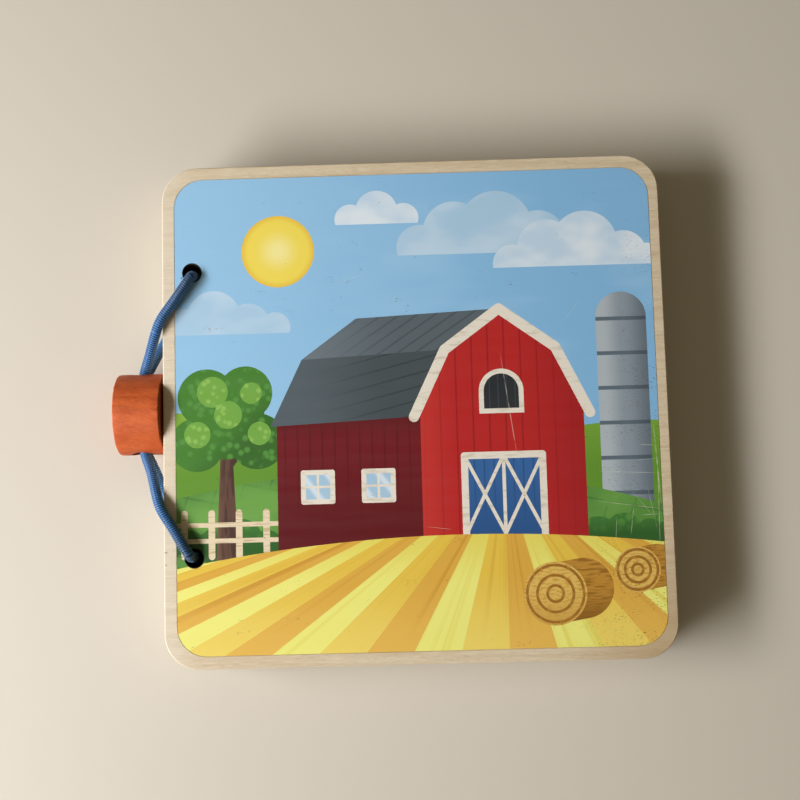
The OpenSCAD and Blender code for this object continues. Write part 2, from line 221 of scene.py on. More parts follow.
def birch_plywood():
    """Pale, dry and matt: soft streaks of grain, fine brown pores, plies on the edges, painted shade in the
    seams and the holes, painted light along the spine, and a corner darkened partly by grime and partly by
    painted shade.

    The distance from a board's middle, in board thicknesses, tells core, cross plies and face veneers apart.
    The painted seam shade shows near the faces of two boards that meet, where the surface is eased and leans
    off level."""
    material, tree, shader = finish("birch_plywood_sanded", Roughness=0.62, IOR=1.5)
    place = add(tree, "TexCoord", out="Object")
    z = add(tree, "SeparateXYZ", [place], out=2)
    board_top = FIRST_BOARD_Z + BOARD_T
    up = add(tree, "MapRange", {0: z, 1: FIRST_BOARD_Z * MM, 2: board_top * MM}, clamp=False)
    within = add(tree, "Math", [up, 0.0], operation="FRACT")
    off_middle = add(tree, "Math", [within, 0.5], operation="SUBTRACT")
    from_core = add(tree, "Math", [off_middle], operation="ABSOLUTE")
    outside_core = add(tree, "Math", [from_core, CORE_HALF], operation="GREATER_THAN")
    inside_veneer = add(tree, "Math", [from_core, CROSS_END], operation="LESS_THAN")
    cross_ply = add(tree, "Math", [outside_core, inside_veneer], operation="MULTIPLY")
    broad = streaks(tree, place, (60, 2.2, 2.2), 0.3, 0.75)
    long_grain = blended(tree, linear("#dbcaad"), linear("#cdb997"), broad)
    fine = streaks(tree, place, (5, 0.4, 0.4), 0.45, 0.85, 7.0)
    long_grain = blended(tree, long_grain, linear("#e3d6bc"), fine)
    crossed = streaks(tree, place, (1.2, 60, 0.8), 0.35, 0.7)
    end_grain = blended(tree, linear("#cbb48c"), linear("#b39869"), crossed)
    wood = blended(tree, long_grain, end_grain, cross_ply)
    pores = streaks(tree, place, PORE_MM, 0.58, 0.7, 3.0)
    wood = blended(tree, wood, linear("#977d5c"), pores, 0.34)
    # Darker towards the corner at the fore edge and the foot: partly grime from handling, partly painted
    # shade where the light falls off.
    corner_grime_and_shade = fade(tree, place, (0.8, -0.6, 0), 60, 92)
    wood = blended(tree, wood, linear("#a98c5c"), corner_grime_and_shade, 0.6)
    # Painted light: paler towards the spine, the side that faces the window.
    painted_light_by_spine = fade(tree, place, (-1, 0, 0), 54, 66)
    wood = blended(tree, wood, linear("#efe6d4"), painted_light_by_spine, 0.4)
    # Painted shade in the seams where two boards meet, near their eased faces.
    near_face = add(tree, "Math", [from_core, SEAM_SHADE_START], operation="GREATER_THAN")
    between_boards = add(tree, "Math", [up, 1.5, 1.0], operation="COMPARE")
    normal_z = add(tree, "SeparateXYZ", [add(tree, "TexCoord", out="Normal")], out=2)
    flatness = add(tree, "Math", [normal_z], operation="ABSOLUTE")
    eased = add(tree, "MapRange", {0: flatness, 1: LEVEL, 2: LEANING})
    painted_seam_shade = add(tree, "Math", [near_face, between_boards], operation="MULTIPLY")
    painted_seam_shade = add(tree, "Math", [painted_seam_shade, eased], operation="MULTIPLY")
    wood = blended(tree, wood, linear("#5e4a2e"), painted_seam_shade, 0.75)
    # Painted shade on the hole walls and a thin ring at their mouths.
    for hole_y in (-HOLE_Y, HOLE_Y):
        outside_hole_shade = rings(tree, place, (HOLE_X, hole_y), *HOLE_SHADE_MM)
        wood = blended(tree, linear("#2c241a"), wood, outside_hole_shade)
    on_top = fade(tree, place, (0, 0, 1), *(TOP_Z - below for below in TOP_EDGE_MM))
    nicked = add(tree, "Group", [place], node_tree=nicks)
    nicked = add(tree, "Math", [nicked, on_top], operation="MULTIPLY")
    wood = blended(tree, wood, linear("#55463a"), nicked, 0.6)
    bump = add(tree, "Bump", {"Height": pores, "Strength": 0.2, "Distance": 0.05 * MM}, invert=True)
    tree.links.new(wood, shader.inputs["Base Color"])
    tree.links.new(bump, shader.inputs["Normal"])
    return material


plywood = birch_plywood()
for name in ("back_cover", "inner_page", "front_cover"):
    nodes[name].data.materials.clear()
    nodes[name].data.materials.append(plywood)
print("birch plywood on 3 boards")

# %% [markdown]
# ## The bead
# The bead is a slice sawn off a beech dowel and drilled across for the cord. The solid in the frame has
# evenly rounded rims. The real ones are almost sharp and a little ragged from the saw, so the slice is
# worked out again: a profile runs from the middle of one end over the rim and along the side to the other
# end, and is carried round the dowel's axis.

# %% The bead's shape
bead_low, bead_high = (np.array(corner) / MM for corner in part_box("bead"))
BEAD_MIDDLE = (bead_low + bead_high) / 2
BEAD_HALF, _, BEAD_R = (bead_high - bead_low) / 2
BORE_R = 3.1
RIM_R = 0.3
RIM_REACH = 1.2
SIDE_WEAR, END_WEAR = 0.8, 0.5
OUT_OF_ROUND = 0.06
BEAD_SIDES = 288
END_ROWS, RIM_ROWS, SIDE_ROWS = 11, 5, 30
bead_turn = np.linspace(0, 2 * pi, BEAD_SIDES, endpoint=False)
dice = np.random.default_rng(5)


def ripple(waves, size):
    """A closed wavy line round the dowel: a sum of cosines, each with a whole number of waves and a phase."""
    phase = dice.uniform(0, 2 * pi, len(waves))
    return size * np.cos(np.outer(bead_turn, waves) + phase).sum(axis=1) / np.sqrt(len(waves))


def ragged_rim():
    """How far one rim is worn back, in mm: a shallow ripple, and nicks where a finer ripple is highest."""
    shallow = np.clip(0.08 + ripple([3, 5, 8, 13], 0.06), 0, None)
    deep = np.clip(ripple([7, 11, 19, 29, 41], 0.24) - 0.2, 0, None)
    return shallow + deep


def sawn_slice():
    """Points (x, r cos a, r sin a) about the dowel's axis, for a profile x, r and an angle a.

    The profile is a straight end, a quarter circle at the rim and a straight side, then the same mirrored.
    It is worn back near each rim by a bell curve of the distance from the rim, times that rim's wear."""
    bend = np.radians(np.linspace(0, 90, RIM_ROWS + 1))[1:]
    end_r = np.linspace(0, BEAD_R - RIM_R, END_ROWS + 1)[1:]
    rim_r, rim_x = BEAD_R - RIM_R * (1 - np.sin(bend)), BEAD_HALF - RIM_R * (1 - np.cos(bend))
    side_x = np.linspace(BEAD_HALF - RIM_R, 0, SIDE_ROWS + 1)[1:]
    r = np.concatenate([end_r, rim_r, np.full(SIDE_ROWS, BEAD_R)])
    x = np.concatenate([np.full(END_ROWS, BEAD_HALF), rim_x, side_x])
    r, x = np.concatenate([r, r[-2::-1]])[:, None], np.concatenate([x, -x[-2::-1]])[:, None]
    near_rim = np.exp(-(((BEAD_R - r) ** 2 + (BEAD_HALF - np.abs(x)) ** 2) / RIM_REACH**2))
    worn = near_rim * np.where(x > 0, ragged_rim(), ragged_rim())
    out_of_round = OUT_OF_ROUND - np.clip(ripple([2, 3, 5], 0.04), None, OUT_OF_ROUND)
    radius = r - SIDE_WEAR * worn - out_of_round * r / BEAD_R
    along = x * (1 - END_WEAR * worn / BEAD_HALF)
    points = np.stack([along, radius * np.cos(bead_turn), radius * np.sin(bead_turn)], axis=-1) + BEAD_MIDDLE
    ends = BEAD_MIDDLE + np.array([[BEAD_HALF, 0, 0], [-BEAD_HALF, 0, 0]])
    return points, ends


def turned_mesh(name, points, ends):
    """A closed skin over rows of rings, with a fan of triangles from a middle point at each end."""
    rows, sides = points.shape[:2]
    i, k = np.meshgrid(np.arange(rows - 1), np.arange(sides), indexing="ij")
    k_next = (k + 1) % sides
    here, onward = i * sides, (i + 1) * sides
    quads = np.stack([here + k, onward + k, onward + k_next, here + k_next], axis=-1)
    first, following, last = np.arange(sides), (np.arange(sides) + 1) % sides, (rows - 1) * sides
    fans = np.vstack([np.stack([np.full(sides, rows * sides), first, following], axis=-1),
                      np.stack([np.full(sides, rows * sides + 1), last + following, last + first], axis=-1)])
    mesh = bpy.data.meshes.new(name)
    every = np.vstack([points.reshape(-1, 3), ends]) * MM
    mesh.from_pydata(every.tolist(), [], quads.reshape(-1, 4).tolist() + fans.tolist())
    piece = bpy.data.objects.new(name, mesh)
    bpy.context.collection.objects.link(piece)
    return piece


print("slice of", round(2 * BEAD_R, 1), "by", round(2 * BEAD_HALF, 1), "mm, with", BEAD_SIDES, "sides")

# %% [markdown]
# A round hole through a round side is no simple grid, so a Boolean modifier drills it and is applied at once.

# %% The bead, drilled
DRILL_SIDES = 72
SHARP_FROM = 40
drill_y = np.array([[-BEAD_R - 1], [BEAD_R + 1]])
drill_turn = np.linspace(0, 2 * pi, DRILL_SIDES, endpoint=False)
drill_points = np.stack([BORE_R * np.cos(drill_turn) + 0 * drill_y, drill_y + 0 * drill_turn,
                         BORE_R * np.sin(drill_turn) + 0 * drill_y], axis=-1) + BEAD_MIDDLE
drill = turned_mesh("bead_drill", drill_points, BEAD_MIDDLE + np.array([0, 1, 0]) * drill_y)
bead = turned_mesh("bead_slice", *sawn_slice())
bore = bead.modifiers.new("bore", "BOOLEAN")
bore.object, bore.operation, bore.solver = drill, "DIFFERENCE", "EXACT"
bpy.context.view_layer.update()
drilled = bpy.data.meshes.new_from_object(bead.evaluated_get(bpy.context.evaluated_depsgraph_get()))
bead.modifiers.clear()
bead.data = drilled
drilled.name = "bead_slice"
bpy.data.objects.remove(drill)
drilled.shade_smooth()
drilled.set_sharp_from_angle(angle=radians(SHARP_FROM))
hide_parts("bead")
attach(bead, "back_cover")
print("bead of", len(drilled.polygons), "faces")

# %% [markdown]
# The dowel is dyed orange so that the grain still shows. Beech has many short dark flecks along the grain,
# and they take up more dye than the wood between them. A few fine cracks run with them. The sawn ends drink
# more dye, so they are darker.

# %% Stained beech
PITH_MM = (24.0, -8.0)
YEAR_MM, YEAR_SWAY_MM = 1.3, 0.9
DARK_END_MM = (0.14, 0.04)


def stained_beech():
    """Deep orange, dull and dry: dark flecks and cracks along the dowel, faint arcs of year rings, dark
    ends."""
    material, tree, shader = finish("beech_stained_orange", Roughness=0.58, IOR=1.46)
    place = add(tree, "TexCoord", out="Object")
    deeper = streaks(tree, place, (9, 3.2, 3.2), 0.35, 0.7)
    dye = blended(tree, linear("#d06027"), linear("#bd501d"), deeper)
    lighter = streaks(tree, place, (2.4, 0.5, 0.5), 0.55, 0.85, 5.0)
    dye = blended(tree, dye, linear("#dd7438"), lighter)
    flecks = streaks(tree, place, (1.6, 0.17, 0.17), 0.62, 0.7, 2.0)
    cracks = streaks(tree, place, (7.0, 0.24, 0.24), 0.68, 0.74, 11.0)
    faint_flecks = add(tree, "Math", [flecks, 0.5], operation="MULTIPLY")
    marks = add(tree, "Math", [cracks, faint_flecks], operation="MAXIMUM")
    dye = blended(tree, dye, linear("#83381a"), marks, 0.8)
    from_pith = add(tree, "VectorMath", [place, (0.0, 1.0, 1.0)], operation="MULTIPLY")
    pith = (0.0, PITH_MM[0] * MM, PITH_MM[1] * MM)
    reach = add(tree, "VectorMath", [from_pith, pith], "Value", operation="DISTANCE")
    wander = streaks(tree, place, (30, 6, 6), 0.2, 0.8, 4.0)
    sway = add(tree, "Math", [wander, YEAR_SWAY_MM * MM, reach], operation="MULTIPLY_ADD")
    year = add(tree, "Math", [sway, YEAR_MM * MM], operation="PINGPONG")
    late_wood = add(tree, "MapRange", [year, YEAR_MM * 0.55 * MM, YEAR_MM * MM, 0.0, 0.3])
    dye = blended(tree, dye, linear("#a8461f"), late_wood)
    for toward, end_at in (((1, 0, 0), bead_high[0]), ((-1, 0, 0), -bead_low[0])):
        end_grain = fade(tree, place, toward, *(end_at - depth for depth in DARK_END_MM))
        dye = blended(tree, dye, linear("#a4461d"), end_grain, 0.6)
    worn = streaks(tree, place, (1.8, 0.9, 0.9), 0.3, 0.7, 3.0)
    height = add(tree, "Math", [worn, marks], operation="SUBTRACT")
    bump = add(tree, "Bump", {"Height": height, "Strength": 0.5, "Distance": 0.1 * MM})
    tree.links.new(dye, shader.inputs["Base Color"])
    tree.links.new(bump, shader.inputs["Normal"])
    return material


drilled.materials.append(stained_beech())
print("stained beech on the bead")

# %% [markdown]
# ## The printed picture
# The picture is ink under a thin satin varnish, on the veneer of the front board. Each colour is a solid
# of its own in the frame. The ink is not flat: it shades softly from one tone to another, the pores of the
# veneer break through, and the marks of handling show. Each ink lists its base colour and the tones laid
# over it. A tone is a colour and a share, and the share comes from one of a few ways of shading: a fade,
# thin lines at a real pitch, rays from a point, or soft mottling.

# %% Ways of shading an ink
def lines(tree, place, across, pitch, width, phase=0.0):
    """1 on thin lines at a pitch in mm: the distance across them, wrapped to one pitch, near zero."""
    way = Vector(across).normalized()
    reached = add(tree, "VectorMath", [place, tuple(way)], "Value", operation="DOT_PRODUCT")
    wrapped = add(tree, "Math", [reached, (pitch + phase) * MM, phase * MM], operation="WRAP")
    off_middle = add(tree, "Math", [wrapped, (pitch / 2 + phase) * MM], operation="SUBTRACT")
    away = add(tree, "Math", [off_middle], operation="ABSOLUTE")
    return add(tree, "MapRange", [away, width * MM, width / 4 * MM, 0.0, 1.0])


def rays(tree, place, tip, count, low, high):
    """Streaks that fan out from a point: noise over the angle about it, spread from low to high."""
    local = add(tree, "VectorMath", [place, (tip[0] * MM, tip[1] * MM, 0.0)], operation="SUBTRACT")
    x = add(tree, "SeparateXYZ", [local])
    angle = add(tree, "Math", [x, x.node.outputs[1]], operation="ARCTAN2")
    turned = add(tree, "Math", [angle, count / pi], operation="MULTIPLY")
    noise = add(tree, "TexNoise", {"W": turned, "Scale": 1.0, "Detail": 3.0}, noise_dimensions="1D")
    return add(tree, "MapRange", {0: noise, 1: low, 2: high}, interpolation_type="SMOOTHSTEP")


def leaves(tree, place, size, low, high):
    """Rounded cells of a size in mm, 1 towards the middle of each."""
    scaled = add(tree, "Mapping", {0: place, 3: [1 / (size * MM)] * 3})
    away = add(tree, "TexVoronoi", {"Vector": scaled, "Scale": 1.0, "Randomness": 0.9})
    return add(tree, "MapRange", {0: away, 1: high, 2: low}, interpolation_type="SMOOTHSTEP")


print("ways of shading ready")

# %% [markdown]
# ## Inks
# The picture is a plain farm: a sky that pales towards the spine, soft green hills, a deep red barn and a
# field in three yellows.

# %% Inks
LEFT, RIGHT, UP, DOWN = (-1, 0, 0), (1, 0, 0), (0, 1, 0), (0, -1, 0)
FURROW_TIP = (22.3, -16.7)
SUN_AT = (-34.7, 42.0)
SILO_X = 53.8

INKS = {
    "sky": ("#86bce6", [
        ("#9acbee", lambda t, p: fade(t, p, LEFT, -55, 65)),
        ("#98c9ec", lambda t, p: streaks(t, p, (34, 12, 12), 0.45, 0.75))]),
    "sun": ("#f6e05c", [
        ("#fbf0a0", lambda t, p: rings(t, p, SUN_AT, 6.5, 0.0)),
        ("#f0c94a", lambda t, p: rings(t, p, SUN_AT, 7.6, 9.6))]),
    "far_clouds": ("#acd0ea", [
        ("#c2dcf0", lambda t, p: streaks(t, p, (16, 9, 9), 0.4, 0.7))]),
    "near_clouds": ("#c3dcf0", [
        ("#e2eef7", lambda t, p: streaks(t, p, (14, 9, 9), 0.35, 0.65))]),
    "far_hills": ("#7fae3c", [
        ("#64962f", lambda t, p: fade(t, p, DOWN, -2, 18)),
        ("#98c24e", lambda t, p: fade(t, p, UP, -4, 4))]),
    "silo": ("#8e9ca6", [
        ("#b3bec5", lambda t, p: fade(t, p, LEFT, -SILO_X - 0.5, -SILO_X + 5)),
        ("#66747f", lambda t, p: fade(t, p, RIGHT, SILO_X, SILO_X + 7))]),
    "silo_bands": ("#5f6f7b", [
        ("#4a5862", lambda t, p: fade(t, p, RIGHT, SILO_X, SILO_X + 7))]),
    "near_hill": ("#5b9140", [
        ("#4a7f35", lambda t, p: lines(t, p, (0.94, -0.34, 0), 6.4, 0.45)),
        ("#4a7f35", lambda t, p: lines(t, p, (0.2, 0.98, 0), 6.0, 0.45)),
        ("#6fa64c", lambda t, p: streaks(t, p, (30, 14, 14), 0.5, 0.7))]),
    "hedge": ("#3f7a33", [
        ("#55923f", lambda t, p: leaves(t, p, 2.6, 0.25, 0.55)),
        ("#2f6128", lambda t, p: fade(t, p, DOWN, 29, 34))]),
    "tree_trunk": ("#63463a", [
        ("#4a332a", lambda t, p: streaks(t, p, (0.9, 9, 9), 0.45, 0.6)),
        ("#7a5a48", lambda t, p: fade(t, p, LEFT, 49, 52))]),
    "tree_crown": ("#47822f", [
        ("#376a26", lambda t, p: fade(t, p, (0.7, -0.7, 0), -34, -24)),
        ("#569340", lambda t, p: leaves(t, p, 2.2, 0.2, 0.5))]),
    "tree_leaves": ("#74aa46", [
        ("#8fc05a", lambda t, p: leaves(t, p, 1.8, 0.2, 0.5))]),
    "fence": ("#ead9b8", [
        ("#cdb78e", lambda t, p: streaks(t, p, (6, 0.5, 0.5), 0.5, 0.65))]),
    "barn_side": ("#74161f", [
        ("#5c0f18", lambda t, p: lines(t, p, RIGHT, 3.2, 0.3)),
        ("#611019", lambda t, p: fade(t, p, DOWN, 2, 34)),
        ("#611019", lambda t, p: fade(t, p, UP, -9, -1))]),
    "lower_roof": ("#475156", [
        ("#384145", lambda t, p: lines(t, p, (-0.24, 0.97, 0), 3.4, 0.3)),
        ("#566269", lambda t, p: fade(t, p, LEFT, 4, 32))]),
    "upper_roof": ("#5a666d", [
        ("#475156", lambda t, p: lines(t, p, (-0.55, 0.83, 0), 2.6, 0.28)),
        ("#6d7a82", lambda t, p: fade(t, p, LEFT, 2, 30))]),
    "barn_front": ("#bb2424", [
        ("#9c181c", lambda t, p: lines(t, p, RIGHT, 4.2, 0.32, 0.2)),
        ("#a51b1f", lambda t, p: fade(t, p, RIGHT, 24, 46)),
        ("#c93630", lambda t, p: fade(t, p, LEFT, -12, 2))]),
    "barn_doors": ("#3567a4", [
        ("#274f83", lambda t, p: lines(t, p, RIGHT, 2.5, 0.25, 1.1)),
        ("#2a578f", lambda t, p: fade(t, p, DOWN, 14, 33))]),
    "barn_loft": ("#2a2f33", [
        ("#3d454b", lambda t, p: lines(t, p, RIGHT, 2.2, 0.2, 0.6))]),
    "window_panes": ("#a9cbe2", [
        ("#d7e8f3", lambda t, p: lines(t, p, (0.8, 0.6, 0), 5.2, 1.1, 0.4))]),
    "barn_trim": ("#ece5d6", [
        ("#d8cfbb", lambda t, p: streaks(t, p, (5, 1.2, 1.2), 0.5, 0.7))]),
    "plain_furrows": ("#e8c54a", [
        ("#dcb240", lambda t, p: rays(t, p, FURROW_TIP, 70, 0.5, 0.7)),
        ("#f0d768", lambda t, p: fade(t, p, DOWN, 40, 62))]),
    "ochre_furrows": ("#dfae45", [
        ("#d19b38", lambda t, p: rays(t, p, FURROW_TIP, 60, 0.5, 0.7)),
        ("#e8bb55", lambda t, p: fade(t, p, DOWN, 42, 62))]),
    "pale_furrows": ("#f1ee80", [
        ("#e6da62", lambda t, p: rays(t, p, FURROW_TIP, 50, 0.5, 0.72)),
        ("#e9dc63", lambda t, p: fade(t, p, UP, -46, -32))]),
    "bale_sides": ("#c08c35", [
        ("#99691f", lambda t, p: streaks(t, p, (4, 0.6, 0.6), 0.45, 0.65)),
        ("#8d5f1d", lambda t, p: fade(t, p, DOWN, 46, 56))]),
    "bale_ends": ("#e3bd62", [
        ("#c99d42", lambda t, p: streaks(t, p, (1.6, 0.5, 0.5), 0.45, 0.65)),
        ("#cfa348", lambda t, p: fade(t, p, DOWN, 46, 58))]),
    "bale_rings": ("#a06c24", [
        ("#b98433", lambda t, p: streaks(t, p, (1.5, 1.5, 1.5), 0.45, 0.65))]),
}
print(len(INKS), "inks listed")

# %% [markdown]
# Every ink is then laid on the veneer in the same way. It is worn most towards the fore edge, where hands
# hold the cover, so the pores are open there. Elsewhere only a few patches of them show.

# %% Ink on veneer
def printed_ink(name, base, tones):
    """Smooth satin ink: soft tones, dark veneer pores that break through, pale scratches, dark nicks, a faint
    sheen."""
    material, tree, shader = finish("varnished_ink_" + name, IOR=1.48)
    place = add(tree, "TexCoord", out="Object")
    ink = linear(base)
    for tone, share in tones:
        ink = blended(tree, ink, linear(tone), share(tree, place))
    worn = fade(tree, place, (0.95, -0.15, 0), 38, 66)
    patch = streaks(tree, place, (9, 5, 9), 0.4, 0.58, 4.0)
    pore = streaks(tree, place, PRINT_PORE_MM, 0.61, 0.66, 6.0)
    bare = add(tree, "Math", [patch, worn], operation="MULTIPLY")
    rare = streaks(tree, place, (5, 3, 5), 0.66, 0.72, 12.0)
    worn_through = add(tree, "Math", [bare, rare], operation="MAXIMUM")
    open_pore = add(tree, "Math", [pore, worn_through], operation="MULTIPLY")
    ink = blended(tree, ink, linear("#544628"), open_pore, 0.85)
    breaks = streaks(tree, place, (2.6, 2.6, 2.6), 0.25, 0.6, 9.0)
    scratched = add(tree, "Group", [place], node_tree=scratches)
    scratched = add(tree, "Math", [scratched, breaks], operation="MULTIPLY", use_clamp=True)
    ink = blended(tree, ink, linear("#e9e4cf"), scratched, 0.6)
    nicked = add(tree, "Group", [place], node_tree=nicks)
    ink = blended(tree, ink, linear("#4d3f3c"), nicked, 0.8)
    sheen = streaks(tree, place, (30, 3, 3), 0.3, 0.7, 8.0)
    rough = add(tree, "MapRange", [sheen, 0.0, 1.0, 0.40, 0.50])
    fibre = streaks(tree, place, (8, 0.4, 0.4), 0.3, 0.7, 1.0)
    bump = add(tree, "Bump", {"Height": fibre, "Strength": 0.06, "Distance": 0.05 * MM})
    tree.links.new(ink, shader.inputs["Base Color"])
    tree.links.new(rough, shader.inputs["Roughness"])
    tree.links.new(bump, shader.inputs["Normal"])
    return material


for name, (base, tones) in INKS.items():
    mesh = nodes["print_" + name].data
    mesh.materials.clear()
    mesh.materials.append(printed_ink(name, base, tones))
print(len(INKS), "inks, for", sum(n.startswith("print_") for n in nodes), "printed solids")

# %% [markdown]
# ## The elastic cord
# The cord is a rubber core with a woven sleeve, about 3 mm thick and ribbed across. It is one closed loop:
# out of a hole, round the spine edges, through the bead, and back under the boards. It is made as a ribbed
# profile carried along the same route as the solid in the frame. Because the boards turn, the loop is cut
# where it leaves one board for the next, and each length rides on what holds it there.

# %% The cord's route
CORD_R = 1.4
SPINE_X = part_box("back_cover")[0].x / MM
BEAD_DRIFT = 0.9
RIB_MM = 0.57
STEP_MM = RIB_MM / 6
CHORD_STEPS = 60

OVER_BOARDS = [
    (-6.4, 0, 12.25), (-6.4, 6, 12.25), (-6.15, 10.2, 12.2), (-5.2, 12.6, 13.4), (-4, 15, 15.2),
    (-2.4, 19.6, 17.6), (-0.6, 24.2, 19.3), (2.4, 28.6, 19.6), (6.4, 34.8, 19.6), (7.15, 35.95, 19.15),
    (7.4, 36.3, 18), (7.4, 36.3, 14.2)]
UNDER_BOARDS = [
    (7.5, 36.8, 10.5), (7.6, 37.4, 6.8), (7.6, 37.4, 3), (7.25, 36.7, 1.9), (6.4, 35.1, 1.45),
    (2.5, 28.7, 1.45), (-0.6, 24.4, 1.6), (-2.3, 20.6, 3.9), (-4, 16, 6.4), (-5.2, 12.8, 8.1),
    (-6.15, 10.2, 9.2), (-6.4, 6, 9.15), (-6.4, 0, 9.15)]
HEAD_LEAN_X, HEAD_LEAN_Y = ((16, 34), (0, 0.6)), ((16, 34), (0, -0.2))
FOOT_LEAN_X, FOOT_LEAN_Y = ((6, 13, 18, 24, 34), (0, 0.4, 0.3, 0, -0.4)), ((16, 34), (0, -0.3))
print(len(OVER_BOARDS) + len(UNDER_BOARDS), "points for half of the loop")

# %% [markdown]
# The points lead from the bead over the boards into the hole at the head, and back underneath, with X counted
# from the spine edge. The half at the foot mirrors them. Each half then leans a little its own way, as a loop
# of cord does, and one smooth curve runs through all the points.

# %% A closed curve
def unit(v):
    """Each vector divided by its length."""
    return v / np.linalg.norm(v, axis=-1, keepdims=True)


def closed_route(points, step):
    """A smooth closed curve through the points, read off at equal steps.

    Between two points runs a cubic, whose direction at each point is the mean of the directions of the two
    chords there, each weighted by the other chord's length. Its pull at a point is at most twice the length
    of the chord on the other side, so that a long chord after a short one does not swing out."""
    following = np.roll(points, -1, axis=0)
    chord = np.linalg.norm(following - points, axis=1, keepdims=True)
    slope = (following - points) / chord
    back_slope, back_chord = np.roll(slope, 1, axis=0), np.roll(chord, 1, axis=0)
    tangent = unit(back_slope * chord + slope * back_chord)
    u = np.linspace(0, 1, CHORD_STEPS, endpoint=False)[None, :, None]
    p, q = points[:, None], following[:, None]
    m = (np.minimum(chord, 2 * back_chord) * tangent)[:, None]
    n = (np.minimum(chord, 2 * np.roll(chord, -1, axis=0)) * np.roll(tangent, -1, axis=0))[:, None]
    curve = ((2 * u**3 - 3 * u**2 + 1) * p + (u**3 - 2 * u**2 + u) * m
             + (3 * u**2 - 2 * u**3) * q + (u**3 - u**2) * n).reshape(-1, 3)
    curve = np.vstack([curve, curve[:1]])
    length = np.concatenate([[0], np.cumsum(np.linalg.norm(np.diff(curve, axis=0), axis=1))])
    even = np.linspace(0, length[-1], round(length[-1] / step), endpoint=False)
    return np.stack([np.interp(even, length, axis) for axis in curve.T], axis=1), length[-1]


head_half = np.array(OVER_BOARDS + UNDER_BOARDS, float)
foot_half = head_half[-2:0:-1] * (1, -1, 1)
corners = np.vstack([head_half, foot_half])
out_from_middle = np.abs(corners[:, 1])
toward_head = corners[:, 1] > 0


def leaning(head_side, foot_side):
    """The lean off a mirrored loop, read by distance from the middle off the list of the head or the foot."""
    head_lean, foot_lean = (np.interp(out_from_middle, *side) for side in (head_side, foot_side))
    return np.where(toward_head, head_lean, foot_lean)


drift = BEAD_DRIFT * np.clip(1 - out_from_middle / HOLE_Y, 0, None)
corners[:, 0] += SPINE_X + leaning(HEAD_LEAN_X, FOOT_LEAN_X)
corners[:, 1] += drift + leaning(HEAD_LEAN_Y, FOOT_LEAN_Y)
route, loop_mm = closed_route(corners, STEP_MM)
print("cord loop of", round(loop_mm, 1), "mm in", len(route), "steps")

# %% [markdown]
# The curve still bends a little sharply at the points of the list. A running mean with bell weights calms it,
# but only away from the holes, where the cord has to keep clear of the boards.

# %% A calmer route
CALM_MM, CALM_STEPS = 1.2, 30
CALM_FROM, CALM_TO = 33.0, 30.0
steps = np.arange(-CALM_STEPS, CALM_STEPS + 1)
weight = np.exp(-0.5 * (steps * STEP_MM / CALM_MM) ** 2)
around = (np.arange(len(route))[:, None] + steps[None, :]) % len(route)
calmed = np.einsum("ijk,j->ik", route[around], weight / weight.sum())
free = np.clip((CALM_FROM - np.abs(route[:, 1])) / (CALM_FROM - CALM_TO), 0, 1)[:, None]
shift = (calmed - route) * free
route = route + shift
heading = unit(np.roll(route, -1, axis=0) - np.roll(route, 1, axis=0))
print("route calmed by up to", round(float(np.linalg.norm(shift, axis=1).max()), 2), "mm")

# %% [markdown]
# A cord's skin is a grid: one parameter runs along the route and the other round it. The ribs are part of
# the shape. The radius falls a little between ribs, and the ribs lean, as the turns of a thread do.

# %% The cord's skin
SIDES = 20
RIB_DEPTH = 0.11
RUBBED_MM = (3, 15)
turn = np.linspace(0, 2 * pi, SIDES, endpoint=False)


def rib_radius(distance):
    """The cord's radius, less up to RIB_DEPTH of it between ribs: a cosine of distance over rib pitch."""
    wave = np.cos(2 * pi * distance[:, None] / RIB_MM + turn[None, :])
    return CORD_R * (1 - RIB_DEPTH * (0.5 - 0.5 * wave))


def skin(name, centre, first, second, radius, distance, material):
    """A closed tube: at each centre a ring of radius times (cos first + sin second), capped at both ends.

    Its UV map holds the distance along the cord in ribs and the share of a turn. Its attribute falls from 1
    to 0 with the centre's distance from the nearer hole, between the two given lengths."""
    circle = np.cos(turn)[None, :, None] * first[:, None] + np.sin(turn)[None, :, None] * second[:, None]
    points = centre[:, None] + radius[:, :, None] * circle
    count = len(centre)
    i, k = np.meshgrid(np.arange(count - 1), np.arange(SIDES), indexing="ij")
    k_next = (k + 1) % SIDES
    here, onward = i * SIDES, (i + 1) * SIDES
    quads = np.stack([here + k, here + k_next, onward + k_next, onward + k], axis=-1)
    caps = [list(range(SIDES - 1, -1, -1)), list(range((count - 1) * SIDES, count * SIDES))]
    ribs = distance / RIB_MM
    u = np.stack([ribs[i], ribs[i], ribs[i + 1], ribs[i + 1]], axis=-1)
    v = np.stack([k, k + 1, k + 1, k], axis=-1) / SIDES
    ends = np.repeat(ribs[[0, -1]], SIDES)
    uv = np.vstack([np.stack([u, v], axis=-1).reshape(-1, 2), np.stack([ends, ends * 0], axis=-1)])
    mesh = bpy.data.meshes.new(name)
    mesh.from_pydata((points.reshape(-1, 3) * MM).tolist(), [], quads.reshape(-1, 4).tolist() + caps)
    mesh.uv_layers.new(name="along_cord").data.foreach_set("uv", uv.astype(np.float32).ravel())
    from_hole = np.hypot(centre[:, 0] - HOLE_X, np.abs(centre[:, 1]) - HOLE_Y)
    near_hole = np.repeat(np.interp(from_hole, RUBBED_MM, (1, 0)), SIDES)
    mesh.attributes.new("near_hole", "FLOAT", "POINT").data.foreach_set("value", near_hole.astype(np.float32))
    mesh.shade_smooth()
    mesh.materials.append(material)
    piece = bpy.data.objects.new(name, mesh)
    bpy.context.collection.objects.link(piece)
    return piece


print("skin of", SIDES, "sides, ribs", RIB_MM, "mm apart")

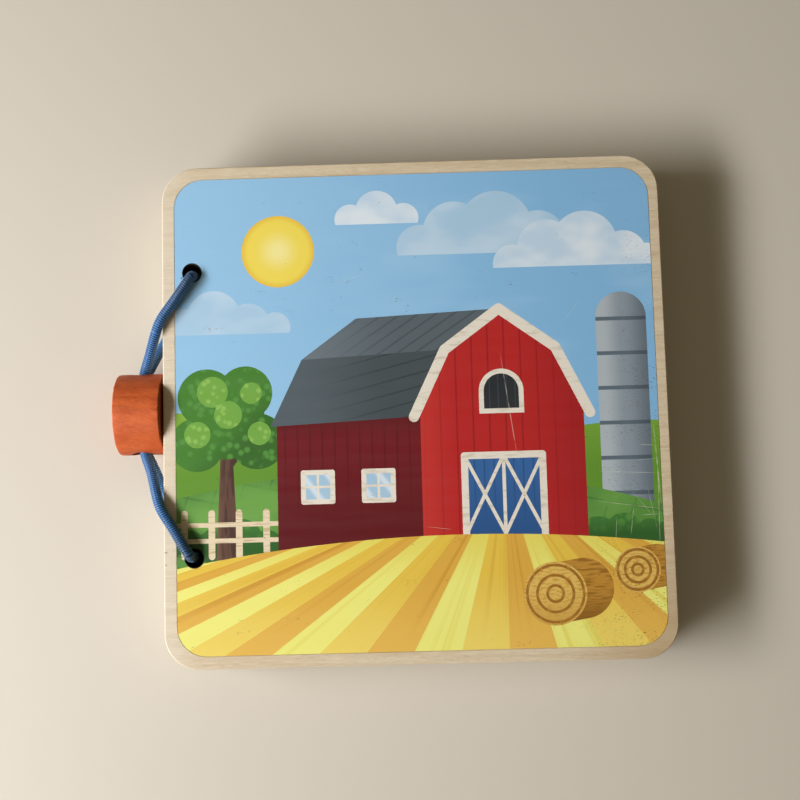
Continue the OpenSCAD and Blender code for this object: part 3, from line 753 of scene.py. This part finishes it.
# %% [markdown]
# The sleeve is woven of bright blue polyester. The UV map draws its ribs and yarns, so that they follow the
# cord round every bend: a painted highlight on each rib, and painted shade between ribs and yarns. A full
# sheen stands for the fine fibres on the yarn: they catch the light along the side of the cord that faces
# the window. Near the holes the cord is darker and greyer.

# %% Woven elastic
YARNS = 14


def woven_elastic():
    """Bright blue polyester yarn over rubber: a soft shine to the light, a painted highlight on each rib,
    painted shade between ribs and yarns, and darker and greyer near the holes."""
    material, tree, shader = finish("woven_elastic_blue", Roughness=0.4, IOR=1.5, Sheen_Weight=1.0,
                                    Sheen_Roughness=0.3, Sheen_Tint=linear("#d2f0ff"))
    along = add(tree, "SeparateXYZ", [add(tree, "UVMap", uv_map="along_cord")])
    around = along.node.outputs[1]
    phase = add(tree, "Math", [along, around], operation="ADD")
    wave = add(tree, "Math", [add(tree, "Math", [phase, 2 * pi], operation="MULTIPLY")], operation="COSINE")
    strand = add(tree, "Math", [around, float(YARNS), along], operation="MULTIPLY_ADD")
    twist = add(tree, "Math", [add(tree, "Math", [strand, 2 * pi], operation="MULTIPLY")], operation="COSINE")
    height = add(tree, "Math", [twist, 0.4, wave], operation="MULTIPLY_ADD")
    # Painted highlight on each rib's crest and painted shade in the valleys between ribs and yarns.
    rib_highlight_and_valley_shade = add(tree, "MapRange", [height, -0.3, 1.3, 0.0, 1.0])
    yarn = blended(tree, linear("#031b42"), linear("#58a6f0"), rib_highlight_and_valley_shade)
    tint = add(tree, "TexNoise", {"Vector": add(tree, "CombineXYZ", [along, around]), "Scale": 0.4})
    yarn = blended(tree, yarn, linear("#22548e"), tint, 0.28)
    # Darker and greyer near the holes.
    near_hole = add(tree, "Attribute", attribute_name="near_hole", out="Fac")
    yarn = blended(tree, yarn, linear("#14293f"), near_hole, 0.65)
    tree.links.new(yarn, shader.inputs["Base Color"])
    return material


elastic = woven_elastic()
print("woven elastic with", YARNS, "yarns round the cord")

# %% [markdown]
# The loop is cut at six places: on each side where the strand comes over the spine edge, and in each hole
# between one board and the next. Every length ends in a round tip inside its neighbour, so that no cut
# shows when the book is closed.

# %% Cord lengths
EDGE_Y = 21.6
HOLE_WALL = 2.4
FRONT_FROM, BACK_FROM = (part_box(n)[0].z / MM for n in ("front_cover", "inner_page"))
TIP_ANGLES = np.radians(np.linspace(12, 84, 7))

over = np.arange(len(route)) < len(route) // 4
head = np.arange(len(route)) < len(route) // 2
x, y, z = route.T
in_hole = x > HOLE_X - HOLE_WALL
cut_edge_head = int(np.argmax(over & (y > EDGE_Y)))
cut_cover_head = int(np.argmax(head & in_hole & (z < FRONT_FROM)))
cut_page_head = int(np.argmax(head & in_hole & (z < BACK_FROM)))
cut_page_foot = int(np.argmax(~head & in_hole & (z > BACK_FROM)))
cut_cover_foot = int(np.argmax(~head & in_hole & (z > FRONT_FROM)))
cut_edge_foot = len(route) - int(np.argmax((y < -EDGE_Y)[::-1]))
print("cuts at", [cut_edge_head, cut_cover_head, cut_page_head, cut_page_foot, cut_cover_foot, cut_edge_foot])


def cord_length(name, start, end, body):
    """The loop from one cut to the next, with a round tip of the rib's valley radius at both ends."""
    at = np.arange(start, end + 1)
    centre, along = route[at % len(route)], heading[at % len(route)]
    radius, distance = rib_radius(at * STEP_MM), at * STEP_MM
    tip_r = CORD_R * (1 - RIB_DEPTH)
    out, shrink = tip_r * np.sin(TIP_ANGLES)[:, None], tip_r * np.cos(TIP_ANGLES)[:, None] * np.ones(SIDES)
    before, after = centre[:1] - out[::-1] * along[:1], centre[-1:] + out * along[-1:]
    centre = np.vstack([before, centre, after])
    along = np.vstack([np.repeat(along[:1], len(out), 0), along, np.repeat(along[-1:], len(out), 0)])
    radius = np.vstack([shrink[::-1], radius, shrink])
    distance = np.concatenate([np.full(len(out), distance[0]), distance, np.full(len(out), distance[-1])])
    across = np.array([1.0, 0, 0])
    first = unit(across - along * (along @ across)[:, None])
    piece = skin(name, centre, first, np.cross(along, first), radius, distance, elastic)
    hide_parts("elastic_cord")
    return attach(piece, body)


lengths = [
    cord_length("cord_over_bead", cut_edge_foot, cut_edge_head + len(route), "back_cover"),
    cord_length("cord_over_cover_head", cut_edge_head, cut_cover_head, "front_cover"),
    cord_length("cord_in_page_head", cut_cover_head, cut_page_head, "inner_page"),
    cord_length("cord_under_back", cut_page_head, cut_page_foot, "back_cover"),
    cord_length("cord_in_page_foot", cut_page_foot, cut_cover_foot, "inner_page"),
    cord_length("cord_over_cover_foot", cut_cover_foot, cut_edge_foot, "front_cover"),
]
print(len(lengths), "lengths with", sum(len(p.data.polygons) for p in lengths), "faces")

# %% [markdown]
# When a board is turned over, the cord is pulled into an arc about the hinge. At each cut a stack of thin
# discs lies hidden inside the cord, packed in a thin band square to that arc.

# %% Cord arcs at the hinge
HINGE = np.array([-67.5, 0.0, 20.0])
BAND_MM = 0.04
TUCKED_MM = 0.02
DISCS = 420


def hinge_arc(name, cut):
    """Discs square to the circle about the hinge axis, packed in a thin band across the cut. They are a
    little thinner than the cord, which hides them at rest.

    The discs sit at the inverse of a smooth step t * t * (3 - 2 t), that is at 0.5 - sin(asin(1 - 2 w) / 3)."""
    middle = route[cut % len(route)]
    rel = (middle - HINGE) * (1, 0, 1)
    reach = np.linalg.norm(rel)
    sweep = np.array([-rel[2], 0, rel[0]]) / reach
    w = np.linspace(0, 1, DISCS)
    t = 0.5 - np.sin(np.arcsin(1 - 2 * w) / 3)
    start, end = middle + sweep * BAND_MM / 2, middle - sweep * BAND_MM / 2
    centre = start + (end - start) * t[:, None]
    along = np.repeat(-sweep[None], DISCS, axis=0)
    first = np.repeat(np.array([[0, 1.0, 0]]), DISCS, axis=0)
    distance = w * pi * reach
    radius = rib_radius(distance) * (1 - RIB_DEPTH) - TUCKED_MM
    arc = skin(name, centre, first, np.cross(along, first), radius, distance, elastic)
    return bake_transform(arc)


arcs = []
for side, edge, cover, page in (("head", cut_edge_head, cut_cover_head, cut_page_head),
                                ("foot", cut_edge_foot, cut_cover_foot, cut_page_foot)):
    arcs += [
        hinge_arc("cord_arc_edge_cover_" + side, edge),
        hinge_arc("cord_arc_edge_page_" + side, edge),
        hinge_arc("cord_arc_cover_" + side, cover),
        hinge_arc("cord_arc_page_" + side, page),
    ]
print(len(arcs), "arcs of", DISCS, "discs")

# %% [markdown]
# ## Floor and light
# The book lies on a plain pale table top. It rests on the bead at the spine and on its fore edge, so it
# tips by a little over a degree. The frame keeps the boards level, so the floor is tipped instead. Light
# comes from a window at the left and a little towards the reader. A near lamp makes it fall off across the
# book, a far one on the same line reaches the whole floor, and the room adds a weak fill from all round.
# Away from the book the floor fades into a plain backdrop. Only the camera sees it, so it adds no light.

# %% Floor
FORE_EASE_MM = 0.3
FLOOR_HALF = 4.0
BACKDROP = linear("#c4bcad")
FADE_MM = (172, 330)
rest_spine = Vector((BEAD_MIDDLE[0], 0, bead_low[2])) * MM
rest_fore = Vector((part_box("back_cover")[1].x - FORE_EASE_MM * MM, 0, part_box("back_cover")[0].z))
slope = (rest_fore.z - rest_spine.z) / (rest_fore.x - rest_spine.x)
edge = np.array([(-1, -1), (1, -1), (1, 1), (-1, 1)]) * FLOOR_HALF
floor_points = np.column_stack([edge, rest_spine.z + slope * (edge[:, 0] - rest_spine.x)])
floor_mesh = bpy.data.meshes.new("table_top")
floor_mesh.from_pydata(floor_points.tolist(), [], [(0, 1, 2, 3)])
table_paint, table_tree, table_shader = finish("table_top_pale", Roughness=0.6)
table_shader.inputs["Base Color"].default_value = linear("#cfc8ba")
straight = add(table_tree, "LightPath", out="Is Camera Ray")
far_off = rings(table_tree, add(table_tree, "TexCoord", out="Object"), (0, 0), *FADE_MM)
lost = add(table_tree, "Math", [straight, far_off], operation="MULTIPLY")
backdrop = add(table_tree, "Emission", {"Color": BACKDROP, "Strength": 1.0})
faded = add(table_tree, "MixShader", [lost, table_shader.outputs[0], backdrop])
table_tree.links.new(faded, table_tree.nodes["Material Output"].inputs["Surface"])
floor_mesh.materials.append(table_paint)
table_top = bpy.data.objects.new("table_top", floor_mesh)
bpy.context.collection.objects.link(table_top)
print("floor tipped by", round(float(np.degrees(np.arctan(slope))), 2), "degrees")

# %% Light
WINDOW_AT = Vector((-0.47, -0.13, 0.31))
WINDOW_SIZE = (0.5, 0.12)
FAR_TIMES = 14
NEAR_W, FAR_W = 2.1, 220
NEAR_SPREAD, FAR_SPREAD = 130, 180
ROOM_STRENGTH = 0.15


def window_light(name, place, size, energy, spread):
    """A rectangular lamp, wide and low, turned to face the book. Its light keeps within the spread."""
    lamp = bpy.data.lights.new(name, "AREA")
    lamp.shape = "RECTANGLE"
    lamp.size, lamp.size_y = size
    lamp.energy = energy
    lamp.spread = radians(spread)
    lamp.color = linear("#fefdff")[:3]
    lamp_object = bpy.data.objects.new(name, lamp)
    lamp_object.location = place
    lamp_object.rotation_euler = (-place).to_track_quat("-Z", "Y").to_euler()
    bpy.context.collection.objects.link(lamp_object)


far_size = [side * FAR_TIMES for side in WINDOW_SIZE]
window_light("near_window", WINDOW_AT, WINDOW_SIZE, NEAR_W, NEAR_SPREAD)
window_light("far_window", WINDOW_AT * FAR_TIMES, far_size, FAR_W, FAR_SPREAD)

world = bpy.data.worlds.new("room")
bpy.context.scene.world = world
world.use_nodes = True
room = world.node_tree.nodes["Background"]
room.inputs["Color"].default_value = linear("#ffeec6")
room.inputs["Strength"].default_value = ROOM_STRENGTH
seen = add(world.node_tree, "Background", {"Color": BACKDROP, "Strength": 1.0})
straight = add(world.node_tree, "LightPath", out="Is Camera Ray")
sky = add(world.node_tree, "MixShader", [straight, room.outputs[0], seen])
world.node_tree.links.new(sky, world.node_tree.nodes["World Output"].inputs["Surface"])
bpy.context.scene.view_settings.view_transform = "Standard"
print("windows of", NEAR_W, "and", FAR_W, "W, and a room light of", ROOM_STRENGTH)

# %% Final update
bpy.context.view_layer.update()
